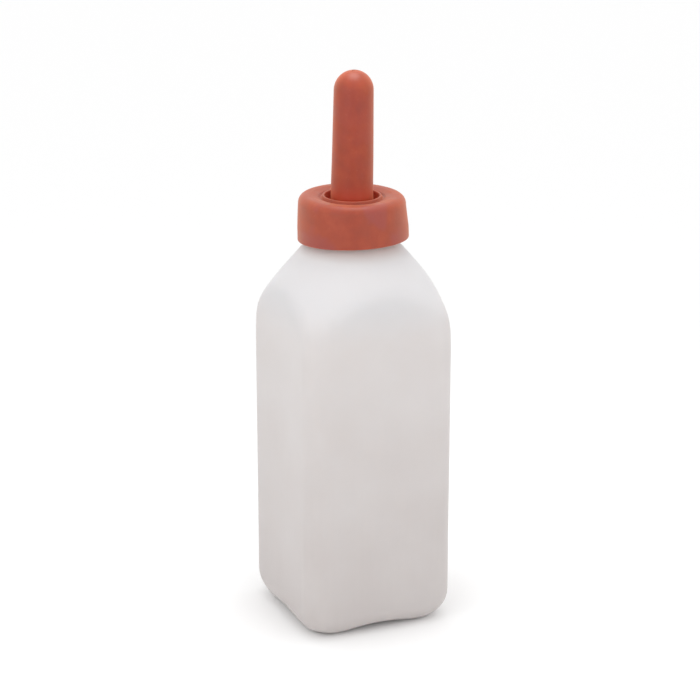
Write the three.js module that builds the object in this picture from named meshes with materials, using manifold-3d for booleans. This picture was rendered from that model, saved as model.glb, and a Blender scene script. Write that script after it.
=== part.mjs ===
// Calf feeding bottle: a square blow-moulded bottle with a rubber teat held on its mouth by a push-on rubber
// collar, and a small ball vent in a plate pressed into the base of the teat.
// Millimetres, +Z up. The origin is the centre of the base, on the surface that the bottle stands on.
import * as THREE from "three";
import { mergeVertices } from "three/addons/utils/BufferGeometryUtils.js";
import Module from "manifold-3d";

const wasm = await Module();
wasm.setup();

// ---- driving dimensions -------------------------------------------------------------------------------------

// bottle body: a square prism with round vertical edges
const HALF_SIDE = 50;
const EDGE_R = 13;
const WALL = 1.5;

// bottle shoulder: a slightly crowned cone that cuts the prism, so each flat side ends in an arch
const SHOULDER_Z = 197; // where the cone meets the corners
const SHOULDER_R = 67;
const NECK_Z = 246.5; // where the cone meets the neck
const SHOULDER_TOP_R = 26.4;
const CROWN = 1.4;
const BLEND = 20; // higher makes a tighter round between the cone and the prism
const CONE_SLANT = 1.35; // the wall measured level through the cone's slope is this much thicker

// bottle base: four feet at the corners, an arch along each side and a push-up in the middle
const ARCH_HEIGHT = 3.2;
const ARCH_SPAN = 0.82; // share of the half side that the arch takes, the rest being foot
const ARCH_POWER = 1.5;
const PUSH_UP = 7;
const SIDE_ROUND = 11.7; // round between side and base
const PAD_CORNER = 20.5; // corner of the base's outline inside that round

// bottle neck: a plain tube with a round bead that the collar is pushed over
const NECK_R = 25.5;
const NECK_BORE_R = 23.2;
const BEAD_R = 28.3;
const BEAD_LOW_Z = 256.5;
const LIP_Z = 264;
const LIP_ROUND = 1.2;

// parts that touch keep this gap
const GAP = 0.3;

// teat: a tapered tube with a round tip, and a flat flange that seals on the bottle's lip
const FLANGE_Z = LIP_Z + GAP;
const FLANGE_THICK = 3.3;
const FLANGE_R = 28.2;
const TEAT_ROOT_R = 13.25;
const TEAT_TIP_R = 12.25;
const TEAT_TOP_Z = 350.8;
const TEAT_WALL = 3.2;
const SLIT_LENGTH = 7;
const SLIT_WIDTH = 0.5;

// collar: a soft cap with a round hole, whose skirt grips the bead
const COLLAR_LOW_Z = 246;
const COLLAR_SEAT_Z = FLANGE_Z + FLANGE_THICK + GAP;
const COLLAR_PLATE = 4.6; // thickness of the top round the hole
const COLLAR_DISH = 1.4; // how far the top dips towards the hole
const COLLAR_LOW_R = 34.7;
const COLLAR_TOP_R = 33.1;
const COLLAR_ROUND = 5;
const COLLAR_BORE_R = 30.2;
const COLLAR_HOLE_R = 17.1;
const RIM_HEIGHT = 0.6;
const RIM_WIDTH = 1.4;
const GROOVE_DEPTH = 0.6;
const GRIP_R = BEAD_R + GAP; // the grip lip, at the size it stretches to over the bead
const GRIP_TOP_Z = 254;

// vent: a ball in a small tube under the plate closes the air hole when the bottle is tipped
const PLATE_R = 20.2;
const PLATE_THICK = 1.5;
const PLATE_RECESS = PLATE_THICK + GAP;
const VENT_OUT = 15; // from the bottle's axis, under the open ring between teat and collar
const VENT_HOLE_R = 1.2;
const VENT_TUBE_R = 3.7;
const VENT_TUBE_BORE_R = 2.6;
const VENT_TUBE_LENGTH = 8.6;
const BALL_R = 2;
const CAGE_HEIGHT = 1.8;
const CAGE_DEEP = 0.4; // how far the cage is pushed up the tube
const CAGE_SLOT_LENGTH = 3.6;
const CAGE_SLOT_WIDTH = 0.8;
const CAGE_SLOT_DEPTH = 0.8;
const BALL_CLEARANCE = 0.1;
const MILK_HOLE_R = 1.9;
const MILK_HOLE_RING_R = 6;
const MILK_HOLES = 6;

const LATHE_SIDES = 40;
const SMALL_SIDES = 20;

// ---- materials ----------------------------------------------------------------------------------------------

const naturalPlastic = new THREE.MeshStandardMaterial({ color: 0xe0dcd9, roughness: 0.42, metalness: 0 });
const redRubber = new THREE.MeshStandardMaterial({ color: 0xb0553f, roughness: 0.62, metalness: 0 });
const whitePlastic = new THREE.MeshStandardMaterial({ color: 0xf0efe9, roughness: 0.4, metalness: 0 });
const steel = new THREE.MeshStandardMaterial({ color: 0xc8cacc, roughness: 0.2, metalness: 1 });

// ---- geometry helpers ---------------------------------------------------------------------------------------

// A closed three.js geometry as a solid that can be joined and cut.
function solidOf(geometry) {
  const plain = geometry.clone();
  plain.deleteAttribute("normal");
  plain.deleteAttribute("uv");
  const merged = mergeVertices(plain, 1e-4);
  const mesh = new wasm.Mesh({
    numProp: 3,
    vertProperties: new Float32Array(merged.attributes.position.array),
    triVerts: new Uint32Array(merged.index.array),
  });
  return new wasm.Manifold(mesh);
}

// And the solid back as a three.js geometry.
function geometryOf(solid) {
  const mesh = solid.getMesh();
  return new THREE.BufferGeometry()
    .setAttribute("position", new THREE.BufferAttribute(mesh.vertProperties, 3))
    .setIndex(new THREE.BufferAttribute(mesh.triVerts, 1));
}

// A profile of [radius, height] points turned round the Z axis.
function turned(profile, sides = LATHE_SIDES) {
  const points = profile.map(([radius, height]) => new THREE.Vector2(radius, height));
  return new THREE.LatheGeometry(points, sides).rotateX(Math.PI / 2);
}

// Points on an arc of a profile, from one angle to another in degrees.
function arc(centreR, centreZ, radius, from, to, steps) {
  return Array.from({ length: steps + 1 }, (_, i) => {
    const angle = THREE.MathUtils.degToRad(from + ((to - from) * i) / steps);
    return [centreR + radius * Math.cos(angle), centreZ + radius * Math.sin(angle)];
  });
}

// An upright cylinder from one height to another.
function post(radius, lowZ, highZ, x = 0, y = 0, sides = SMALL_SIDES) {
  return new THREE.CylinderGeometry(radius, radius, highZ - lowZ, sides)
    .rotateX(Math.PI / 2)
    .translate(x, y, (lowZ + highZ) / 2);
}

const smooth = (t) => THREE.MathUtils.smoothstep(t, 0, 1);

// ---- bottle -------------------------------------------------------------------------------------------------

// How far along a flat side a direction points: 0 at its middle, 1 at the corner.
function alongSide(angle) {
  const quarter = Math.PI / 2;
  const fromMiddle = Math.abs(((((angle + quarter / 2) % quarter) + quarter) % quarter) - quarter / 2);
  return Math.min(Math.tan(fromMiddle), 1);
}

// Distance from the axis to the side of a square with round corners.
function squareRadius(angle, half, round) {
  const flat = half - round;
  const along = alongSide(angle);
  const cos = 1 / Math.hypot(1, along);
  const sin = along * cos;
  if (half * along <= flat) return half / cos;
  const toCentre = flat * (cos + sin);
  return toCentre + Math.sqrt(toCentre ** 2 - (2 * flat ** 2 - round ** 2));
}

const prismRadius = (angle, inset) => squareRadius(angle, HALF_SIDE - inset, EDGE_R - inset);

// The outline of the base, inside the round that leads up to the sides.
const padRadius = (angle) => squareRadius(angle, HALF_SIDE - SIDE_ROUND, PAD_CORNER);

// Radius of the shoulder's cone. Its crown is a parabola, and it goes on straight below the corners.
function shoulderRadius(z) {
  const up = (z - SHOULDER_Z) / (NECK_Z - SHOULDER_Z);
  const crown = up > 0 ? 4 * CROWN * up * (1 - up) : 4 * CROWN * up;
  return SHOULDER_R + (SHOULDER_TOP_R - SHOULDER_R) * up + crown;
}

// The cone and the prism with a round between them.
function bodyRadius(angle, z, inset) {
  const cone = shoulderRadius(z) - inset * CONE_SLANT;
  return (prismRadius(angle, inset) ** -BLEND + cone ** -BLEND) ** (-1 / BLEND);
}

function archHeight(angle) {
  const share = Math.min(alongSide(angle) / ARCH_SPAN, 1);
  return ARCH_HEIGHT * Math.cos((Math.PI / 2) * share) ** ARCH_POWER;
}

// The directions that every ring of the bottle has points in: a few on each flat, more round each corner.
function ringAngles() {
  const flat = HALF_SIDE - EDGE_R;
  const eighth = [0, 0.35].map((share) => Math.atan(share));
  for (let turn = 0; turn <= 45; turn += 11.25) {
    const t = THREE.MathUtils.degToRad(turn);
    eighth.push(Math.atan2(flat + EDGE_R * Math.sin(t), flat + EDGE_R * Math.cos(t)));
  }
  const back = eighth.slice(1, -1).reverse();
  const quarter = [...eighth, ...back.map((angle) => Math.PI / 2 - angle)];
  return [0, 1, 2, 3].flatMap((n) => quarter.map((angle) => angle + (n * Math.PI) / 2));
}

// Rings of the body's skin from the middle of the base to the top of the shoulder, set in by the wall or not.
// Each ring is a function from a direction to [radius, height].
function bodyRings(inset) {
  const rings = [];
  for (const share of [0.2, 0.4, 0.6, 0.8, 1]) {
    rings.push((angle) => {
      const rise = (PUSH_UP - archHeight(angle)) * smooth((0.8 - share) / 0.6);
      return [padRadius(angle) * share, archHeight(angle) + rise + inset];
    });
  }
  for (const turn of [22.5, 45, 67.5, 90]) {
    const t = THREE.MathUtils.degToRad(turn);
    rings.push((angle) => {
      const round = prismRadius(angle, 0) - padRadius(angle) - inset;
      const height = archHeight(angle) + inset + round * (1 - Math.cos(t));
      return [padRadius(angle) + round * Math.sin(t), height];
    });
  }
  for (const z of [155, 173, 185, 194, 201, 207, 212, 217, 222, 228, 235, 243]) {
    rings.push((angle) => [bodyRadius(angle, z, inset), z]);
  }
  return rings;
}

// Stacks rings into one closed skin, with a single point at its first and last end.
function skinned(rings, angles, firstZ, lastZ) {
  const positions = [0, 0, firstZ];
  for (const ring of rings) {
    for (const angle of angles) {
      const [radius, z] = ring(angle);
      positions.push(radius * Math.cos(angle), radius * Math.sin(angle), z);
    }
  }
  positions.push(0, 0, lastZ);
  const count = angles.length;
  const lastPoint = positions.length / 3 - 1;
  const faces = [];
  for (let i = 0; i < count; i++) {
    const next = (i + 1) % count;
    faces.push(0, 1 + next, 1 + i);
    for (let r = 0; r < rings.length - 1; r++) {
      const low = 1 + r * count;
      const high = low + count;
      faces.push(low + i, low + next, high + next);
      faces.push(low + i, high + next, high + i);
    }
    const end = 1 + (rings.length - 1) * count;
    faces.push(end + i, end + next, lastPoint);
  }
  return new THREE.BufferGeometry()
    .setAttribute("position", new THREE.Float32BufferAttribute(positions, 3))
    .setIndex(faces);
}

function bottleBody() {
  const round = (points) => points.map((point) => () => point);
  const beadMiddle = (BEAD_LOW_Z + LIP_Z) / 2;
  const outside = round([
    [NECK_R, NECK_Z + 1],
    [NECK_R, BEAD_LOW_Z - 2],
    [BEAD_R, BEAD_LOW_Z + 1.2],
    [BEAD_R, beadMiddle + 1],
    ...arc(BEAD_R - LIP_ROUND, LIP_Z - LIP_ROUND, LIP_ROUND, 0, 90, 2),
  ]);
  const inside = round([
    ...arc(NECK_BORE_R + LIP_ROUND / 2, LIP_Z - LIP_ROUND / 2, LIP_ROUND / 2, 90, 180, 2),
    [NECK_BORE_R, NECK_Z],
  ]);
  const innerSkin = bodyRings(WALL).reverse();
  const rings = [...bodyRings(0), ...outside, ...inside, ...innerSkin];
  return skinned(rings, ringAngles(), PUSH_UP, PUSH_UP + WALL);
}

// ---- teat ---------------------------------------------------------------------------------------------------

function teat() {
  const flangeTop = FLANGE_Z + FLANGE_THICK;
  const domeZ = TEAT_TOP_Z - TEAT_TIP_R;
  const boreRootR = TEAT_ROOT_R - TEAT_WALL;
  const boreTipR = TEAT_TIP_R - TEAT_WALL;
  const recessZ = FLANGE_Z + PLATE_RECESS;
  const profile = [
    ...arc(0, domeZ, boreTipR, 90, 0, 5),
    [boreRootR, flangeTop + 2],
    [boreRootR, recessZ],
    [PLATE_R + GAP, recessZ],
    [PLATE_R + GAP, FLANGE_Z],
    [FLANGE_R - 0.6, FLANGE_Z],
    [FLANGE_R, FLANGE_Z + 0.6],
    [FLANGE_R, flangeTop - 0.6],
    [FLANGE_R - 0.6, flangeTop],
    ...arc(TEAT_ROOT_R + 1.2, flangeTop + 1.2, 1.2, 270, 180, 3),
    ...arc(0, domeZ, TEAT_TIP_R, 0, 90, 7),
  ];
  profile.at(-1)[0] = 0; // the arc's last point, exactly on the axis
  profile[0][0] = 0;
  let solid = solidOf(turned(profile));
  const slitMiddle = TEAT_TOP_Z - TEAT_WALL / 2;
  for (const turn of [45, 135]) {
    const slit = new THREE.BoxGeometry(SLIT_LENGTH, SLIT_WIDTH, TEAT_WALL * 3)
      .rotateZ(THREE.MathUtils.degToRad(turn))
      .translate(0, 0, slitMiddle);
    solid = solid.subtract(solidOf(slit));
  }
  const airHole = post(VENT_HOLE_R, FLANGE_Z, flangeTop + 5, 0, VENT_OUT);
  return geometryOf(solid.subtract(solidOf(airHole)));
}

// ---- collar -------------------------------------------------------------------------------------------------

function collar() {
  const dishZ = COLLAR_SEAT_Z + COLLAR_PLATE;
  const topZ = dishZ + COLLAR_DISH;
  const rimR = COLLAR_HOLE_R + RIM_WIDTH;
  return turned([
    [GRIP_R + 1, COLLAR_LOW_Z],
    [COLLAR_LOW_R - 0.9, COLLAR_LOW_Z],
    [COLLAR_LOW_R, COLLAR_LOW_Z + 0.9],
    [COLLAR_LOW_R - 0.1, COLLAR_LOW_Z + 8],
    ...arc(COLLAR_TOP_R - COLLAR_ROUND, topZ - COLLAR_ROUND, COLLAR_ROUND, 5, 90, 5),
    [COLLAR_TOP_R - COLLAR_ROUND - 2.5, topZ - 0.3],
    [rimR + 2.8, dishZ],
    [rimR + 1.6, dishZ - GROOVE_DEPTH],
    [rimR + 0.5, dishZ - GROOVE_DEPTH],
    [rimR, dishZ + RIM_HEIGHT / 2],
    [rimR - 0.4, dishZ + RIM_HEIGHT],
    [COLLAR_HOLE_R + 0.4, dishZ + RIM_HEIGHT],
    [COLLAR_HOLE_R, dishZ + RIM_HEIGHT / 2],
    [COLLAR_HOLE_R, COLLAR_SEAT_Z],
    [COLLAR_BORE_R, COLLAR_SEAT_Z],
    [COLLAR_BORE_R, GRIP_TOP_Z + 1.6],
    [GRIP_R, GRIP_TOP_Z],
    [GRIP_R, COLLAR_LOW_Z + 1],
    [GRIP_R + 1, COLLAR_LOW_Z],
  ]);
}

// ---- vent ---------------------------------------------------------------------------------------------------

const plateLow = FLANGE_Z + GAP / 2;
const tubeLow = plateLow - VENT_TUBE_LENGTH;
const cageLow = tubeLow + CAGE_DEEP;
const cageTop = cageLow + CAGE_HEIGHT;

function valvePlate() {
  let solid = solidOf(post(PLATE_R, plateLow, plateLow + PLATE_THICK, 0, 0, LATHE_SIDES));
  solid = solid.add(solidOf(post(VENT_TUBE_R, tubeLow, plateLow + 0.5, 0, VENT_OUT)));
  const cuts = [
    post(VENT_TUBE_BORE_R, tubeLow - 1, plateLow, 0, VENT_OUT),
    post(VENT_HOLE_R, tubeLow, plateLow + 5, 0, VENT_OUT),
    post(MILK_HOLE_R, tubeLow, plateLow + 5),
  ];
  for (let i = 0; i < MILK_HOLES; i++) {
    const turn = ((i + 0.5) * 2 * Math.PI) / MILK_HOLES;
    const x = MILK_HOLE_RING_R * Math.cos(turn);
    const y = MILK_HOLE_RING_R * Math.sin(turn);
    cuts.push(post(MILK_HOLE_R, tubeLow, plateLow + 5, x, y));
  }
  for (const cut of cuts) solid = solid.subtract(solidOf(cut));
  return geometryOf(solid);
}

// A ring with two crossed slots, pressed into the tube under the ball, so that air still gets past.
function ballCage() {
  let solid = solidOf(post(VENT_TUBE_BORE_R - GAP / 2, cageLow, cageTop, 0, VENT_OUT));
  solid = solid.subtract(solidOf(post(VENT_HOLE_R, cageLow - 1, cageTop + 1, 0, VENT_OUT)));
  for (const turn of [0, Math.PI / 2]) {
    const slot = new THREE.BoxGeometry(CAGE_SLOT_LENGTH, CAGE_SLOT_WIDTH, CAGE_SLOT_DEPTH * 2)
      .rotateZ(turn)
      .translate(0, VENT_OUT, cageTop);
    solid = solid.subtract(solidOf(slot));
  }
  return geometryOf(solid);
}

// The ball lies on the cage while the bottle stands.
function ventBall() {
  const seatDrop = Math.sqrt(BALL_R ** 2 - VENT_HOLE_R ** 2);
  const ballZ = cageTop + seatDrop + BALL_CLEARANCE;
  return new THREE.SphereGeometry(BALL_R, 16, 12).translate(0, VENT_OUT, ballZ);
}

// ---- assembly -----------------------------------------------------------------------------------------------

const bottle = new THREE.Group();

function place(name, geometry, material) {
  const mesh = new THREE.Mesh(geometry, material);
  mesh.name = name;
  bottle.add(mesh);
}

place("bottle_body", bottleBody(), naturalPlastic);
place("teat", teat(), redRubber);
place("collar", collar(), redRubber);
place("valve_plate", valvePlate(), whitePlastic);
place("ball_cage", ballCage(), whitePlastic);
place("vent_ball", ventBall(), steel);

export default bottle;
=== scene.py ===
import math

import bpy
from mathutils import Matrix, Vector, noise


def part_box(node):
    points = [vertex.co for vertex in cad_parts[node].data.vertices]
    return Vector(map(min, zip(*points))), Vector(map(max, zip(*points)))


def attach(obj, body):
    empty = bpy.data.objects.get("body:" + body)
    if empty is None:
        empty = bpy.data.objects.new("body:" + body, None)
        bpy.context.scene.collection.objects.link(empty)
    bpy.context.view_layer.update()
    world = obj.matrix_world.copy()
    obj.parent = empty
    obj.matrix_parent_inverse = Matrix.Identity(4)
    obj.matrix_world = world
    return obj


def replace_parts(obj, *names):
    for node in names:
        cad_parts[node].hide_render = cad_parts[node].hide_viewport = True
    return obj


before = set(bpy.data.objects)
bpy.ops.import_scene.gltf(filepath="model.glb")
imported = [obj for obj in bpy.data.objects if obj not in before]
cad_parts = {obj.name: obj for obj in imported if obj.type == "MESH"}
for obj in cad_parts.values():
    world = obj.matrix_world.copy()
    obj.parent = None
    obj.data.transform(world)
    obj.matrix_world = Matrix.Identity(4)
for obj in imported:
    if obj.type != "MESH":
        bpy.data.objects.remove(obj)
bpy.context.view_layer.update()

# ---- sizes from the frame, in millimetres -------------------------------------------------------------


def highest(node):
    """The high corner of a CAD node's box, in millimetres."""
    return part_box(node)[1] * 1000


def lowest(node):
    """The low corner of a CAD node's box, in millimetres."""
    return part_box(node)[0] * 1000


HALF_SIDE = highest("bottle_body").x
LIP_Z = highest("bottle_body").z
FLANGE_Z = lowest("teat").z
FLANGE_R = highest("teat").x
TEAT_TOP_Z = highest("teat").z
COLLAR_LOW_Z = lowest("collar").z
COLLAR_TOP_Z = highest("collar").z
COLLAR_LOW_R = highest("collar").x
PLATE_R = highest("valve_plate").x
PLATE_TOP_Z = highest("valve_plate").z
TUBE_LOW_Z = lowest("valve_plate").z
CAGE_LOW_Z = lowest("ball_cage").z
CAGE_TOP_Z = highest("ball_cage").z
CAGE_R = highest("ball_cage").x
BALL_R = highest("vent_ball").x
BALL_Z = highest("vent_ball").z - BALL_R
VENT_OUT = (highest("vent_ball").y + lowest("vent_ball").y) / 2

# ---- sizes that the frame's boxes don't give ----------------------------------------------------------

EDGE_R = 13
WALL = 1.5
SHOULDER_Z = 197
SHOULDER_R = 67
NECK_Z = 246.5
NECK_START_Z = 239.5  # where the mesh changes from the body's rings to the neck's
SHOULDER_TOP_R = 26.4
CROWN = 1.4
BLEND = 20  # higher makes a tighter round between the shoulder and the flat sides
CONE_WALL = WALL * 1.35
NECK_R = 25.5
NECK_BORE_R = 23.2
BEAD_R = 28.3
BEAD_LOW_Z = 256.5

ARCH_HEIGHT = 3.2
ARCH_SPAN = 0.82
ARCH_POWER = 1.5
PUSH_UP = 7
SIDE_ROUND = 11.7
PAD_CORNER = 20.5
PANEL_SINK = 0.35  # how far the middle of a flat side has sunk in as it cooled
UNEVEN = 0.16  # and how uneven its skin is
SEAM_HEIGHT = 0.5  # the pinched seam under the base

TEAT_ROOT_R = 13.25
TEAT_TIP_R = 12.25
TEAT_WALL = 3.2
TEAT_LEAN = 0.85  # degrees, towards the camera's right
SLIT_LENGTH = 7
SLIT_WIDTH = 0.35
TEAT_FOOT = 18  # how far up its foot the teat is a stronger red, painted bounce light in the collar's shade
FLANGE_THICK = 3.3
PLATE_RECESS = 1.8

COLLAR_TOP_R = 33.1
COLLAR_HOLE_R = 17.1
COLLAR_DISH = 1.4  # how far the top dips towards the hole
COLLAR_PLATE = 4.6  # thickness of the top round the hole
COLLAR_ROUND = 5
COLLAR_RIM_WIDTH = 1.3  # the low rim round the hole
COLLAR_RIM_HEIGHT = 1.1
COLLAR_GROOVE_DEPTH = 0.9  # the groove outside that rim
COLLAR_BORE_R = 30.2
GRIP_R = 28.6
GRIP_TOP_Z = 254
COLLAR_TILT = 1.8  # degrees, the skirt's hem is higher on the camera's right
COLLAR_FLARE = 0.8  # millimetres, the hem stands further out on that side
COLLAR_NOD = 2.9  # degrees, the top is higher at the back
COLLAR_ROLL = 0.5  # degrees, the top is higher on the camera's left
SKIRT_START_R = 30.5  # the skirt's tilt sets in from here out
SKIRT_BEND = 2  # millimetres over which it sets in
HEM_TOP = 5  # above the hem, where the lip's own tilt sets in
HEM_BEND = 4
TOP_BEND = 4  # above the seat, where the top has its full slope
SIDE_BEND = 7  # below the seat, where the outer side starts to follow it

PLATE_THICK = 1.5
VENT_HOLE_R = 1.2
TUBE_R = 3.7
TUBE_BORE_R = 2.6
MILK_HOLE_R = 1.9
MILK_HOLE_RING_R = 6
MILK_HOLES = 6

NECK_PAINTED_LIGHT = 0.35  # how far the neck's plastic goes to its paler tint, painted light that lifts the shade under the collar's hem
# a pale bloom tint, even over the collar; on the teat's tip it is a painted highlight
BLOOM_AND_HIGHLIGHT = "b46a58"
# a stronger red, painted bounce light where the collar shades the teat's foot and inside the collar's hole
PAINTED_BOUNCE_RED = "b4381c"

# the camera stands where the photograph was taken from
CAMERA_AZIMUTH = -23.7
CAMERA_ELEVATION = 16.15
CAMERA_DISTANCE = 1.22
CAMERA_LENS = 99.05
AIM_SIDE = -0.0012
AIM_HEIGHT = 0.1734

# light: a white surround, an even sky, and softboxes over the bottle and in front of it, placed in metres
SURROUND_POWER = 1.0
SKY_POWER = 0.1
OVERHEAD_POWER = 0.5
OVERHEAD_HEIGHT = 0.56
OVERHEAD_SIZE = 0.18
LEFT_SOFTBOX_POWER = 0.28
RIGHT_SOFTBOX_POWER = 0.2
SOFTBOX_HEIGHT = 0.34
SOFTBOX_FORWARD = 0.4
SOFTBOX_SIDEWAYS = 0.25
SOFTBOX_SIZE = 0.35
LIGHTS_AIM_HEIGHT = 0.15
FLOOR_HALF = 9000  # millimetres

FILLET_STEPS = 6  # stretches in the arc that rounds a corner
POST_SIDES = 48

azimuth = math.radians(CAMERA_AZIMUTH)
camera_right = Vector((math.cos(azimuth), math.sin(azimuth), 0))
camera_away = Vector((-math.sin(azimuth), math.cos(azimuth), 0))

# ---- camera -------------------------------------------------------------------------------------------


def make_camera():
    elevation = math.radians(CAMERA_ELEVATION)
    back = -camera_away * math.cos(elevation) + Vector((0, 0, math.sin(elevation)))
    data = bpy.data.cameras.new("camera")
    data.sensor_width = 36
    data.lens = CAMERA_LENS
    camera = bpy.data.objects.new("camera", data)
    bpy.context.scene.collection.objects.link(camera)
    camera.location = camera_right * AIM_SIDE + Vector((0, 0, AIM_HEIGHT)) + back * CAMERA_DISTANCE
    camera.rotation_mode = "QUATERNION"
    camera.rotation_quaternion = (-back).to_track_quat("-Z", "Y")
    bpy.context.scene.camera = camera


make_camera()

# ---- mesh helpers -------------------------------------------------------------------------------------


def mesh_object(name, vertices, faces):
    """A smooth-shaded object from vertices in millimetres."""
    mesh = bpy.data.meshes.new(name)
    mesh.from_pydata([Vector(v) * 0.001 for v in vertices], [], faces)
    mesh.validate()
    mesh.shade_smooth()
    made = bpy.data.objects.new(name, mesh)
    bpy.context.scene.collection.objects.link(made)
    return made


def skinned(name, rings, first=None, last=None):
    """Joins rings of points into one skin.

    first and last close it at a point. Without them the last ring meets the first.
    """
    count = len(rings[0])
    vertices = [point for ring in rings for point in ring]
    faces = []
    pairs = len(rings) - 1 if first else len(rings)
    for r in range(pairs):
        low = r * count
        high = (r + 1) % len(rings) * count
        for i in range(count):
            j = (i + 1) % count
            faces.append((low + i, low + j, high + j, high + i))
    if first:
        base = (len(rings) - 1) * count
        vertices += [first, last]
        for i in range(count):
            j = (i + 1) % count
            faces.append((len(vertices) - 2, j, i))
            faces.append((len(vertices) - 1, base + i, base + j))
    return mesh_object(name, vertices, faces)


def filleted(corners, closed=True):
    """An outline through (radius, height, round) corners, each rounded by an arc of its own radius."""
    points = []
    for i, (r, z, fillet) in enumerate(corners):
        here = Vector((r, z))
        at_end = not closed and i in (0, len(corners) - 1)
        if fillet == 0 or at_end:
            points.append(here)
            continue
        back = (Vector(corners[i - 1][:2]) - here).normalized()
        on = (Vector(corners[(i + 1) % len(corners)][:2]) - here).normalized()
        half = back.angle(on) / 2
        centre = here + (back + on).normalized() * fillet / math.sin(half)
        start = here + back * fillet / math.tan(half) - centre
        turn = start.angle_signed(here + on * fillet / math.tan(half) - centre)
        for step in range(FILLET_STEPS + 1):
            points.append(centre + Matrix.Rotation(-turn * step / FILLET_STEPS, 2) @ start)
    return points


def subdivided(points, longest, closed=True):
    """The outline with its long stretches split, so that they can bend."""
    made = []
    ends = points[1:] + points[:1] if closed else points[1:]
    for start, end in zip(points, ends):
        parts = max(math.ceil((end - start).length / longest), 1)
        made += [start.lerp(end, part / parts) for part in range(parts)]
    return made if closed else made + [points[-1]]


def turned(name, outline, sides, on_axis=False, centre=(0, 0)):
    """An outline of (radius, height) points turned round an upright axis."""
    angles = [2 * math.pi * i / sides for i in range(sides)]
    x, y = centre
    inner = outline[1:-1] if on_axis else outline
    rings = [[(x + r * math.cos(a), y + r * math.sin(a), z) for a in angles] for r, z in inner]
    ends = [(x, y, outline[0][1]), (x, y, outline[-1][1])] if on_axis else [None, None]
    return skinned(name, rings, *ends)


def post(radius, low, high, x, y):
    """A plain upright cylinder, used only as a cutter."""
    outline = [(0, low), (radius, low), (radius, high), (0, high)]
    return turned("post", outline, POST_SIDES, on_axis=True, centre=(x, y))


def slot_cutter(length, width, low, high, angle, x=0, y=0):
    """A box through (x, y), turned by angle, used only as a cutter."""
    turn = Matrix.Rotation(math.radians(angle), 2)
    box = ((-length, -width), (length, -width), (length, width), (-length, width))
    corners = [turn @ Vector(corner) / 2 for corner in box]
    rings = [[(x + c.x, y + c.y, z) for c in corners] for z in (low, high)]
    return skinned("slot", rings, (x, y, low), (x, y, high))


def combined(target, others, operation):
    """Cuts the others from the target, or joins them to it, and removes them."""
    for other in others:
        modifier = target.modifiers.new("combine", "BOOLEAN")
        modifier.operation = operation
        modifier.solver = "EXACT"
        modifier.object = other
    shape = target.evaluated_get(bpy.context.evaluated_depsgraph_get())
    finished = bpy.data.meshes.new_from_object(shape)
    target.modifiers.clear()
    target.data = finished
    for other in others:
        bpy.data.objects.remove(other)


def sharpened(piece, angle):
    """Shades a piece smooth, and keeps its edges sharper than the angle, in degrees, sharp."""
    piece.data.shade_smooth()
    piece.data.set_sharp_from_angle(angle=math.radians(angle))


def smooth_step(t):
    t = min(max(t, 0), 1)
    return t * t * (3 - 2 * t)


# ---- bottle -------------------------------------------------------------------------------------------


def along_side(angle):
    """How far along a flat side a direction points: 0 at its middle, 1 at the corner."""
    quarter = math.pi / 2
    return min(math.tan(abs((angle + quarter / 2) % quarter - quarter / 2)), 1)


def square_radius(angle, half, corner):
    """From the axis to the side of a square with round corners."""
    flat = half - corner
    along = along_side(angle)
    if half * along <= flat:
        return half * math.hypot(1, along)
    to_centre = flat * (1 + along) / math.hypot(1, along)
    return to_centre + math.sqrt(to_centre**2 - 2 * flat**2 + corner**2)


def prism_radius(angle, inset=0.0):
    return square_radius(angle, HALF_SIDE - inset, EDGE_R - inset)


def pad_radius(angle):
    """The outline of the base, inside the round that leads up to the sides."""
    return square_radius(angle, HALF_SIDE - SIDE_ROUND, PAD_CORNER)


def shoulder_radius(z):
    up = (z - SHOULDER_Z) / (NECK_Z - SHOULDER_Z)
    crown = 4 * CROWN * up * (1 - up) if up > 0 else 4 * CROWN * up
    return SHOULDER_R + (SHOULDER_TOP_R - SHOULDER_R) * up + crown


def skin_dip(angle, z):
    """How far the real skin lies inside the true shape: a sunk panel and a slight unevenness."""
    flat_share = (HALF_SIDE - EDGE_R) / HALF_SIDE
    across = max(1 - (along_side(angle) / flat_share) ** 2, 0) ** 2
    up = max(math.sin(math.pi * (z - 20) / (SHOULDER_Z - 20)), 0)
    place = Vector((math.cos(angle) * HALF_SIDE, math.sin(angle) * HALF_SIDE, z)) / 34
    clear_of_ends = smooth_step((z - 24) / 30) * smooth_step((NECK_Z - z) / 25)
    return PANEL_SINK * across * up + UNEVEN * (0.5 + 0.5 * noise.noise(place)) * clear_of_ends


def body_radius(angle, z, inset):
    cone = shoulder_radius(z) - inset * CONE_WALL / WALL
    sharp = (prism_radius(angle, inset) ** -BLEND + cone**-BLEND) ** (-1 / BLEND)
    return sharp - skin_dip(angle, z)


def arch_height(angle):
    share = min(along_side(angle) / ARCH_SPAN, 1)
    return ARCH_HEIGHT * math.cos(math.pi / 2 * share) ** ARCH_POWER


def ring_angles():
    """Directions round the bottle: even steps along each flat side, and closer ones round each corner."""
    flat = HALF_SIDE - EDGE_R
    eighth = [math.atan(flat / HALF_SIDE * i / 7) for i in range(7)]
    for step in range(13):
        turn = math.radians(45 * step / 12)
        eighth.append(math.atan2(flat + EDGE_R * math.sin(turn), flat + EDGE_R * math.cos(turn)))
    quarter = eighth + [math.pi / 2 - angle for angle in eighth[-2:0:-1]]
    return [angle + side * math.pi / 2 for side in range(4) for angle in quarter]


def pinch_seam(angle, radius):
    """The seam that the mould pinched shut, a low ridge across the middle of the base."""
    on_seam = abs(math.sin(angle + math.pi / 4)) < 0.01
    return SEAM_HEIGHT * smooth_step((30 - radius) / 6) if on_seam else 0


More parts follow.
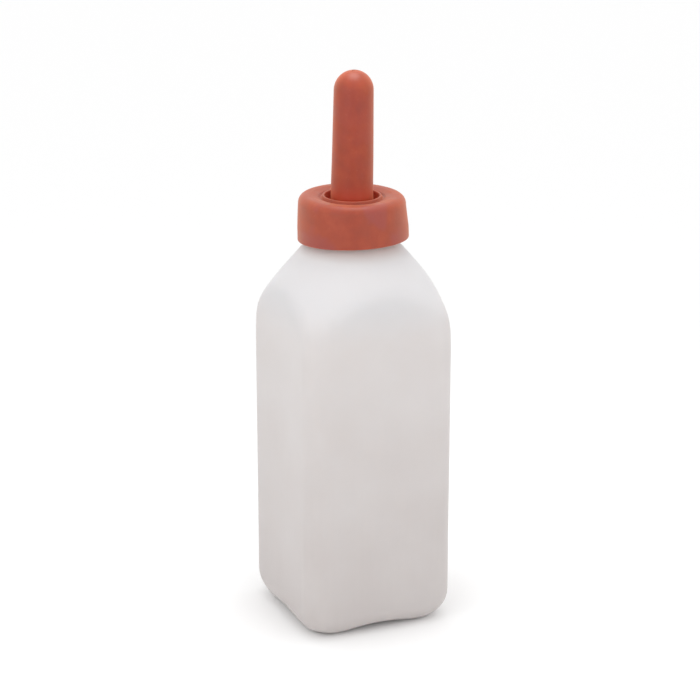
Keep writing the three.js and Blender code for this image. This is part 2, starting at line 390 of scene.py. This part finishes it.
def body_rings(inset):
    """Rings from the middle of the base to the top of the shoulder, on the skin or set in by the wall."""
    angles = ring_angles()
    rings = []
    for step in range(1, 19):
        share = step / 18
        ring = []
        for angle in angles:
            rise = (PUSH_UP - arch_height(angle)) * smooth_step((0.8 - share) / 0.6)
            radius = pad_radius(angle) * share
            ring.append((radius, arch_height(angle) + rise + inset - pinch_seam(angle, radius)))
        rings.append(ring)
    for step in range(1, 11):
        turn = math.radians(9 * step)
        ring = []
        for angle in angles:
            fillet = prism_radius(angle) - pad_radius(angle) - inset
            height = arch_height(angle) + inset + fillet * (1 - math.cos(turn))
            ring.append((pad_radius(angle) + fillet * math.sin(turn), height))
        rings.append(ring)
    side_heights = [26 + 8 * step for step in range(16)]
    shoulder_heights = [150 + 2 * step for step in range(45)]
    for z in side_heights + shoulder_heights:
        rings.append([(body_radius(angle, z, inset), z) for angle in angles])
    return [
        [(r * math.cos(angle), r * math.sin(angle), z) for angle, (r, z) in zip(angles, ring)]
        for ring in rings
    ]


def neck_rings():
    """Rings from the shoulder up over the bead and the lip, and down the bore to the shoulder's inside."""
    outer = shoulder_radius(NECK_START_Z)
    corners = [
        (outer, NECK_START_Z, 0),
        (NECK_R, NECK_Z, 3),
        (NECK_R, BEAD_LOW_Z - 2, 0.8),
        (BEAD_R, BEAD_LOW_Z + 1.2, 0.8),
        (BEAD_R, LIP_Z, 1.2),
        (NECK_BORE_R, LIP_Z, 0.7),
        (NECK_BORE_R, NECK_Z - 1, 3),
        (outer - CONE_WALL, NECK_START_Z, 0),
    ]
    outline = subdivided(filleted(corners, closed=False), 2, closed=False)
    return [[(r * math.cos(a), r * math.sin(a), z) for a in ring_angles()] for r, z in outline]


def make_bottle():
    rings = body_rings(0) + neck_rings() + body_rings(WALL)[::-1]
    first = (0, 0, PUSH_UP - SEAM_HEIGHT)
    last = (0, 0, PUSH_UP + WALL)
    bottle = skinned("bottle_shell", rings, first, last)
    bottle.data.materials.append(milky_plastic())
    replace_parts(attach(bottle, "bottle"), "bottle_body")


# ---- teat ---------------------------------------------------------------------------------------------


def leaned(piece):
    """Bends the teat over a little from its root up, towards the camera's right."""
    root = FLANGE_Z + FLANGE_THICK
    slope = math.tan(math.radians(TEAT_LEAN))
    for vertex in piece.data.vertices:
        above = vertex.co.z - root * 0.001
        if above > 0:
            vertex.co += camera_right * slope * above * smooth_step(above / 0.03)


def make_teat():
    dome_z = TEAT_TOP_Z - TEAT_TIP_R
    flange_top = FLANGE_Z + FLANGE_THICK
    bore_root_r = TEAT_ROOT_R - TEAT_WALL
    bore_tip_r = TEAT_TIP_R - TEAT_WALL
    recess_z = FLANGE_Z + PLATE_RECESS
    quarter = [math.radians(90 * step / 20) for step in range(21)]
    inner_dome = [Vector((bore_tip_r * math.sin(t), dome_z + bore_tip_r * math.cos(t))) for t in quarter]
    outer_dome = [Vector((TEAT_TIP_R * math.cos(t), dome_z + TEAT_TIP_R * math.sin(t))) for t in quarter]
    corners = [
        (bore_tip_r, dome_z, 0),
        (bore_root_r, flange_top + 2, 0),
        (bore_root_r, recess_z, 0.6),
        (PLATE_R + 0.3, recess_z, 0.3),
        (PLATE_R + 0.3, FLANGE_Z, 0.3),
        (FLANGE_R, FLANGE_Z, 0.7),
        (FLANGE_R, flange_top, 0.9),
        (TEAT_ROOT_R, flange_top, 1.2),
        (TEAT_TIP_R, dome_z, 0),
    ]
    middle = subdivided(filleted(corners, closed=False), 2.5, closed=False)
    teat = turned("rubber_teat", inner_dome[:-1] + middle + outer_dome[1:], 112, on_axis=True)
    cutters = [
        slot_cutter(SLIT_LENGTH, SLIT_WIDTH, TEAT_TOP_Z - 8, TEAT_TOP_Z + 4, angle) for angle in (45, 135)
    ]
    cutters.append(post(VENT_HOLE_R, FLANGE_Z, flange_top + 5, 0, VENT_OUT))
    combined(teat, cutters, "DIFFERENCE")
    leaned(teat)
    sharpened(teat, 40)
    # painted bounce light: a stronger red up the teat's foot, where the collar shades it
    foot = (flange_top + TEAT_FOOT, flange_top + 1, 1, PAINTED_BOUNCE_RED)
    # painted highlight: the teat's tip goes paler where the top light falls on it
    tip = (dome_z - 2, dome_z + 3, 0.05, BLOOM_AND_HIGHLIGHT)
    teat.data.materials.append(red_rubber("teat_rubber", 0.3, [foot, tip]))
    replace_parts(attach(teat, "teat"), "teat")


# ---- collar -------------------------------------------------------------------------------------------


def settled(piece):
    """Sets the collar's skin a little askew on its neck.

    Its bore and its seat on the flange stay true. The skirt tilts and flares outside the bore, more towards
    the hem, and the top nods and rolls above the seat.
    """
    tilt = math.tan(math.radians(COLLAR_TILT))
    nod = math.tan(math.radians(COLLAR_NOD))
    roll = math.tan(math.radians(COLLAR_ROLL))
    seat = COLLAR_TOP_Z - COLLAR_DISH - COLLAR_PLATE
    for vertex in piece.data.vertices:
        radius = math.hypot(vertex.co.x, vertex.co.y) * 1000
        height = vertex.co.z * 1000
        low_share = 1 - smooth_step((height - COLLAR_LOW_Z) / (COLLAR_TOP_Z - 4 - COLLAR_LOW_Z))
        skirt = smooth_step((radius - SKIRT_START_R) / SKIRT_BEND) * low_share
        hem = smooth_step((COLLAR_LOW_Z + HEM_TOP - height) / HEM_BEND)
        still = seat if radius < COLLAR_BORE_R + 0.5 else seat - SIDE_BEND
        top = smooth_step((height - still) / (seat + TOP_BEND - still))
        across = vertex.co.dot(camera_right)
        away = vertex.co.dot(camera_away)
        vertex.co.z += tilt * across * max(skirt, hem) + (nod * away - roll * across) * top
        vertex.co += camera_right * COLLAR_FLARE * 0.001 * skirt


def make_collar():
    top = COLLAR_TOP_Z
    dish = top - COLLAR_DISH
    underside = dish - COLLAR_PLATE
    groove = dish - COLLAR_GROOVE_DEPTH
    rim = dish + COLLAR_RIM_HEIGHT
    corners = [
        (GRIP_R, COLLAR_LOW_Z, 1),
        (COLLAR_LOW_R, COLLAR_LOW_Z, 0.9),
        (COLLAR_LOW_R - 0.1, COLLAR_LOW_Z + 8, 20),
        (COLLAR_TOP_R, top, COLLAR_ROUND),
        (COLLAR_TOP_R - 7.5, top - 0.3, 3),
        (COLLAR_HOLE_R + 4, dish, 1.5),
        (COLLAR_HOLE_R + 3, groove, 0.4),
        (COLLAR_HOLE_R + 2, groove, 0.4),
        (COLLAR_HOLE_R + COLLAR_RIM_WIDTH, rim, 0.5),
        (COLLAR_HOLE_R, rim, 0.5),
        (COLLAR_HOLE_R, underside, 0.4),
        (COLLAR_BORE_R, underside, 0.6),
        (COLLAR_BORE_R, GRIP_TOP_Z + 1.6, 0.6),
        (GRIP_R, GRIP_TOP_Z, 0.6),
    ]
    outline = subdivided(filleted(corners), 1.6)
    collar = turned("rubber_collar", outline, 144)
    settled(collar)
    all_over = (0, 1, 0.1, BLOOM_AND_HIGHLIGHT)
    collar.data.materials.append(red_rubber("collar_rubber", 0.8, [all_over], COLLAR_HOLE_R))
    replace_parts(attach(collar, "collar"), "collar")


# ---- vent ---------------------------------------------------------------------------------------------


def make_valve_plate():
    low = PLATE_TOP_Z - PLATE_THICK
    corners = [
        (MILK_HOLE_R, low, 0),
        (PLATE_R, low, 0.3),
        (PLATE_R, PLATE_TOP_Z, 0.3),
        (MILK_HOLE_R, PLATE_TOP_Z, 0),
    ]
    plate = turned("vent_plate", filleted(corners), 98)
    root = low + 0.5
    tube_corners = [
        (TUBE_BORE_R, TUBE_LOW_Z, 0.1),
        (TUBE_R, TUBE_LOW_Z, 0.4),
        (TUBE_R, root, 0),
        (TUBE_BORE_R, root, 0),
    ]
    tube = turned("tube", filleted(tube_corners), 56, centre=(0, VENT_OUT))
    combined(plate, [tube], "UNION")
    cutters = [post(VENT_HOLE_R, low - 2, PLATE_TOP_Z + 2, 0, VENT_OUT)]
    for hole in range(MILK_HOLES):
        turn = math.radians((hole + 0.5) * 360 / MILK_HOLES)
        x = MILK_HOLE_RING_R * math.cos(turn)
        y = MILK_HOLE_RING_R * math.sin(turn)
        cutters.append(post(MILK_HOLE_R, low - 2, PLATE_TOP_Z + 2, x, y))
    combined(plate, cutters, "DIFFERENCE")
    sharpened(plate, 35)
    plate.data.materials.append(moulded_plastic())
    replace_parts(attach(plate, "valve"), "valve_plate")


def make_ball_cage():
    corners = [
        (VENT_HOLE_R, CAGE_LOW_Z, 0.15),
        (CAGE_R, CAGE_LOW_Z, 0.25),
        (CAGE_R, CAGE_TOP_Z, 0.15),
        (VENT_HOLE_R, CAGE_TOP_Z, 0.15),
    ]
    cage = turned("vent_cage", filleted(corners), 64, centre=(0, VENT_OUT))
    slots = [
        slot_cutter(3.6, 0.8, CAGE_TOP_Z - 0.8, CAGE_TOP_Z + 1, angle, 0, VENT_OUT) for angle in (0, 90)
    ]
    combined(cage, slots, "DIFFERENCE")
    sharpened(cage, 35)
    cage.data.materials.append(moulded_plastic())
    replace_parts(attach(cage, "valve"), "ball_cage")


def make_vent_ball():
    half_circle = [math.radians(180 * step / 32 - 90) for step in range(33)]
    outline = [(BALL_R * math.cos(t), BALL_Z + BALL_R * math.sin(t)) for t in half_circle]
    ball = turned("steel_ball", outline, 48, on_axis=True, centre=(0, VENT_OUT))
    ball.data.materials.append(polished_steel())
    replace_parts(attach(ball, "ball"), "vent_ball")


# ---- materials ----------------------------------------------------------------------------------------


def colour(code):
    """A six-digit colour code as the linear colour that shaders take."""
    shares = [int(code[i : i + 2], 16) / 255 for i in (0, 2, 4)]
    return [*((s / 12.92 if s <= 0.04045 else ((s + 0.055) / 1.055) ** 2.4) for s in shares), 1]


def add(tree, kind, inputs, **settings):
    """Adds a node. Each input is a value, or another node's output to link."""
    made = tree.nodes.new(kind)
    for key, value in settings.items():
        setattr(made, key, value)
    for key, value in inputs.items():
        if isinstance(value, bpy.types.NodeSocket):
            tree.links.new(value, made.inputs[key])
        else:
            made.inputs[key].default_value = value
    return made


def new_material(name, **shader):
    """A material, its node tree and its shader, with the shader's own values set by name."""
    material = bpy.data.materials.new(name)
    material.use_nodes = True
    tree = material.node_tree
    bsdf = tree.nodes["Principled BSDF"]
    for key, value in shader.items():
        bsdf.inputs[key.replace("_", " ").title().replace("Ior", "IOR")].default_value = value
    return material, tree, bsdf


def place_of(tree, scale=(1, 1, 1)):
    """Where a point is on its own piece, in metres, stretched by scale."""
    coordinates = add(tree, "ShaderNodeTexCoord", {})
    inputs = {"Vector": coordinates.outputs["Object"], "Scale": scale}
    return add(tree, "ShaderNodeMapping", inputs).outputs["Vector"]


def noise_of(tree, place, scale, detail=2):
    inputs = {"Vector": place, "Scale": scale, "Detail": detail, "Roughness": 0.5}
    return add(tree, "ShaderNodeTexNoise", inputs).outputs["Fac"]


def ramp_of(tree, share, stops):
    """A colour ramp through (position, colour) stops."""
    made = add(tree, "ShaderNodeValToRGB", {"Fac": share})
    while len(made.color_ramp.elements) < len(stops):
        made.color_ramp.elements.new(0.5)
    for element, (position, value) in zip(made.color_ramp.elements, stops):
        element.position = position
        element.color = value
    return made.outputs["Color"]


def mixed(tree, share, first, second):
    """Two colours mixed: all of the first where share is 0, and all of the second where it is 1."""
    # by number, because the node's sockets for other types have the same names
    factor, colour_a, colour_b, colour_out = 0, 6, 7, 2
    inputs = {factor: share, colour_a: first, colour_b: second}
    return add(tree, "ShaderNodeMix", inputs, data_type="RGBA").outputs[colour_out]


def ranged(tree, value, low, high, to_low, to_high, kind="SMOOTHSTEP"):
    """The value taken from the range low to high over to the range to_low to to_high."""
    inputs = {"Value": value, "From Min": low, "From Max": high, "To Min": to_low, "To Max": to_high}
    return add(tree, "ShaderNodeMapRange", inputs, interpolation_type=kind).outputs["Result"]


def bumped(tree, height, distance, normal=None):
    inputs = {"Height": height, "Distance": distance, "Strength": 1}
    if normal:
        inputs["Normal"] = normal
    return add(tree, "ShaderNodeBump", inputs).outputs["Normal"]


def milky_plastic():
    """Natural blow-moulded plastic: milky, satin and cloudy.

    Painted shade makes it greyer towards the base, and painted light makes the neck paler.
    """
    material, tree, bsdf = new_material(
        "milky_plastic",
        subsurface_weight=0.6,
        subsurface_scale=0.004,
        subsurface_radius=(1.0, 0.93, 0.88),
        specular_ior_level=0.4,
    )
    place = place_of(tree)
    drawn = place_of(tree, scale=(1, 1, 0.08))
    clouds = noise_of(tree, place, 22, detail=3)
    lines = noise_of(tree, drawn, 260)
    grain = noise_of(tree, place, 1400)
    height = add(tree, "ShaderNodeSeparateXYZ", {"Vector": place}).outputs["Z"]
    # painted shade: the plastic goes darker towards the base, from the upper tint down to the shaded one
    wall = ranged(tree, height, 0.0, SHOULDER_Z * 0.001, 0, 1, "LINEAR")
    upper_tint = ramp_of(tree, clouds, [(0.3, colour("cdc7c5")), (0.7, colour("d1cccb"))])
    painted_shade_tint = ramp_of(tree, clouds, [(0.3, colour("bab3b1")), (0.7, colour("bfb9b7"))])
    tint = mixed(tree, wall, painted_shade_tint, upper_tint)
    tint = mixed(tree, ranged(tree, lines, 0.35, 0.7, 0, 0.06), tint, colour("cec6c2"))
    shoulder = ranged(tree, height, (SHOULDER_Z - 10) * 0.001, (SHOULDER_Z + 20) * 0.001, 0, 1)
    tint = mixed(tree, shoulder, tint, colour("cecccd"))
    # painted light: the neck goes paler where the collar's hem shades it
    neck = ranged(tree, height, (NECK_Z - 12) * 0.001, (NECK_Z - 2) * 0.001, 0, NECK_PAINTED_LIGHT)
    tint = mixed(tree, neck, tint, colour("faeee6"))
    tree.links.new(tint, bsdf.inputs["Base Color"])
    tree.links.new(ranged(tree, clouds, 0.3, 0.7, 0.5, 0.58), bsdf.inputs["Roughness"])
    normal = bumped(tree, grain, 0.00002)
    normal = bumped(tree, lines, 0.00003, normal=normal)
    tree.links.new(normal, bsdf.inputs["Normal"])
    return material


def red_rubber(name, plum, height_tints, core=0):
    """Moulded red rubber: matte, mottled in orange and, up to a share, in plum, with a fine grain.

    Each height tint sets in from one height to the next, up to its share: the pale bloom that rubber grows
    with age, a painted highlight on the teat's tip, and a stronger red painted as bounce light where the
    collar shades the teat's foot. All inside the core radius has that red too, as painted bounce light.
    """
    material, tree, bsdf = new_material(
        name,
        specular_ior_level=0.4,
        sheen_weight=0.45,
        sheen_roughness=0.6,
        sheen_tint=colour("eaa57f"),
        subsurface_weight=0.25,
        subsurface_scale=0.003,
        subsurface_radius=(1.0, 0.25, 0.15),
    )
    place = place_of(tree)
    mottle = noise_of(tree, place, 110, detail=3)
    clouds = noise_of(tree, place, 48)
    grain = noise_of(tree, place, 1900, detail=3)
    specks = noise_of(tree, place, 620)
    streaks = noise_of(tree, place_of(tree, scale=(1, 1, 0.14)), 150)
    stops = [(0.3, colour("872a11")), (0.5, colour("912f13")), (0.72, colour("9a391d"))]
    tint = ramp_of(tree, mottle, stops)
    tint = mixed(tree, ranged(tree, streaks, 0.48, 0.72, 0, 0.2), tint, colour("9e3a12"))
    tint = mixed(tree, ranged(tree, clouds, 0.48, 0.64, 0, plum), tint, colour("8b3331"))
    tint = mixed(tree, ranged(tree, specks, 0.6, 0.8, 0, 0.15), tint, colour("a85a48"))
    height = add(tree, "ShaderNodeSeparateXYZ", {"Vector": place}).outputs["Z"]
    # the height tints hold the bloom, a painted highlight and painted bounce light
    for low, high, share, code in height_tints:
        skin = ranged(tree, height, low * 0.001, high * 0.001, 0, share)
        tint = mixed(tree, skin, tint, colour(code))
    # painted bounce light: a stronger red inside the collar's hole
    if core:
        level = add(tree, "ShaderNodeVectorMath", {0: place, 1: (1, 1, 0)}, operation="MULTIPLY")
        radius = add(tree, "ShaderNodeVectorMath", {0: level.outputs["Vector"]}, operation="LENGTH")
        inside = ranged(tree, radius.outputs["Value"], (core + 0.4) * 0.001, core * 0.001, 0, 1)
        tint = mixed(tree, inside, tint, colour(PAINTED_BOUNCE_RED))
    tree.links.new(tint, bsdf.inputs["Base Color"])
    tree.links.new(ranged(tree, mottle, 0.3, 0.7, 0.42, 0.54), bsdf.inputs["Roughness"])
    normal = bumped(tree, grain, 0.00003)
    normal = bumped(tree, mottle, 0.00015, normal=normal)
    tree.links.new(normal, bsdf.inputs["Normal"])
    return material


def moulded_plastic():
    """White injection-moulded plastic with a faint flow pattern."""
    if "moulded_plastic" in bpy.data.materials:
        return bpy.data.materials["moulded_plastic"]
    material, tree, bsdf = new_material("moulded_plastic", subsurface_weight=0.2, subsurface_scale=0.001)
    place = place_of(tree)
    flow = noise_of(tree, place, 240, detail=3)
    grain = noise_of(tree, place, 4200)
    tint = ramp_of(tree, flow, [(0.3, colour("c9c7be")), (0.7, colour("d6d4cc"))])
    tree.links.new(tint, bsdf.inputs["Base Color"])
    tree.links.new(ranged(tree, flow, 0.3, 0.7, 0.36, 0.48), bsdf.inputs["Roughness"])
    tree.links.new(bumped(tree, grain, 0.00001), bsdf.inputs["Normal"])
    return material


def polished_steel():
    """Polished steel with fine rolling marks."""
    material, tree, bsdf = new_material("polished_steel", metallic=1.0)
    place = place_of(tree, scale=(1, 1, 6))
    marks = noise_of(tree, place, 2600, detail=3)
    tint = ramp_of(tree, marks, [(0.3, colour("c2c4c6")), (0.7, colour("d6d7d8"))])
    tree.links.new(tint, bsdf.inputs["Base Color"])
    tree.links.new(ranged(tree, marks, 0.3, 0.7, 0.12, 0.24), bsdf.inputs["Roughness"])
    tree.links.new(bumped(tree, marks, 0.000004), bsdf.inputs["Normal"])
    return material


# ---- stage --------------------------------------------------------------------------------------------


def make_floor():
    half = FLOOR_HALF
    corners = [(-half, -half, 0), (half, -half, 0), (half, half, 0), (-half, half, 0)]
    floor = mesh_object("floor", corners, [(0, 1, 2, 3)])
    look = {"base_color": colour("fbfbfb"), "roughness": 0.9, "specular_ior_level": 0.2}
    floor.data.materials.append(new_material("floor", **look)[0])


def make_area_light(name, place, size, power):
    """A round softbox that faces the middle of the bottle."""
    data = bpy.data.lights.new(name, "AREA")
    data.shape = "DISK"
    data.size = size
    data.energy = power
    light = bpy.data.objects.new(name, data)
    bpy.context.scene.collection.objects.link(light)
    light.location = place
    light.rotation_mode = "QUATERNION"
    aim = Vector((0, 0, LIGHTS_AIM_HEIGHT))
    light.rotation_quaternion = (aim - place).to_track_quat("-Z", "Y")


def make_sky():
    """Even light on the whole floor, from a very wide soft source overhead."""
    data = bpy.data.lights.new("sky", "SUN")
    data.angle = math.radians(120)
    data.energy = SKY_POWER
    light = bpy.data.objects.new("sky", data)
    bpy.context.scene.collection.objects.link(light)
    light.location = (0, 0, 2)


def make_lights():
    world = bpy.data.worlds.new("surround")
    bpy.context.scene.world = world
    world.use_nodes = True
    background = world.node_tree.nodes["Background"]
    background.inputs["Color"].default_value = (1, 1, 1, 1)
    background.inputs["Strength"].default_value = SURROUND_POWER
    make_sky()
    make_area_light("overhead", Vector((0, 0, OVERHEAD_HEIGHT)), OVERHEAD_SIZE, OVERHEAD_POWER)
    front = Vector((0, 0, SOFTBOX_HEIGHT)) - camera_away * SOFTBOX_FORWARD
    aside = camera_right * SOFTBOX_SIDEWAYS
    make_area_light("left_softbox", front - aside, SOFTBOX_SIZE, LEFT_SOFTBOX_POWER)
    make_area_light("right_softbox", front + aside, SOFTBOX_SIZE, RIGHT_SOFTBOX_POWER)


make_bottle()
make_teat()
make_collar()
make_valve_plate()
make_ball_cage()
make_vent_ball()
make_floor()
make_lights()
bpy.context.scene.view_settings.view_transform = "Standard"
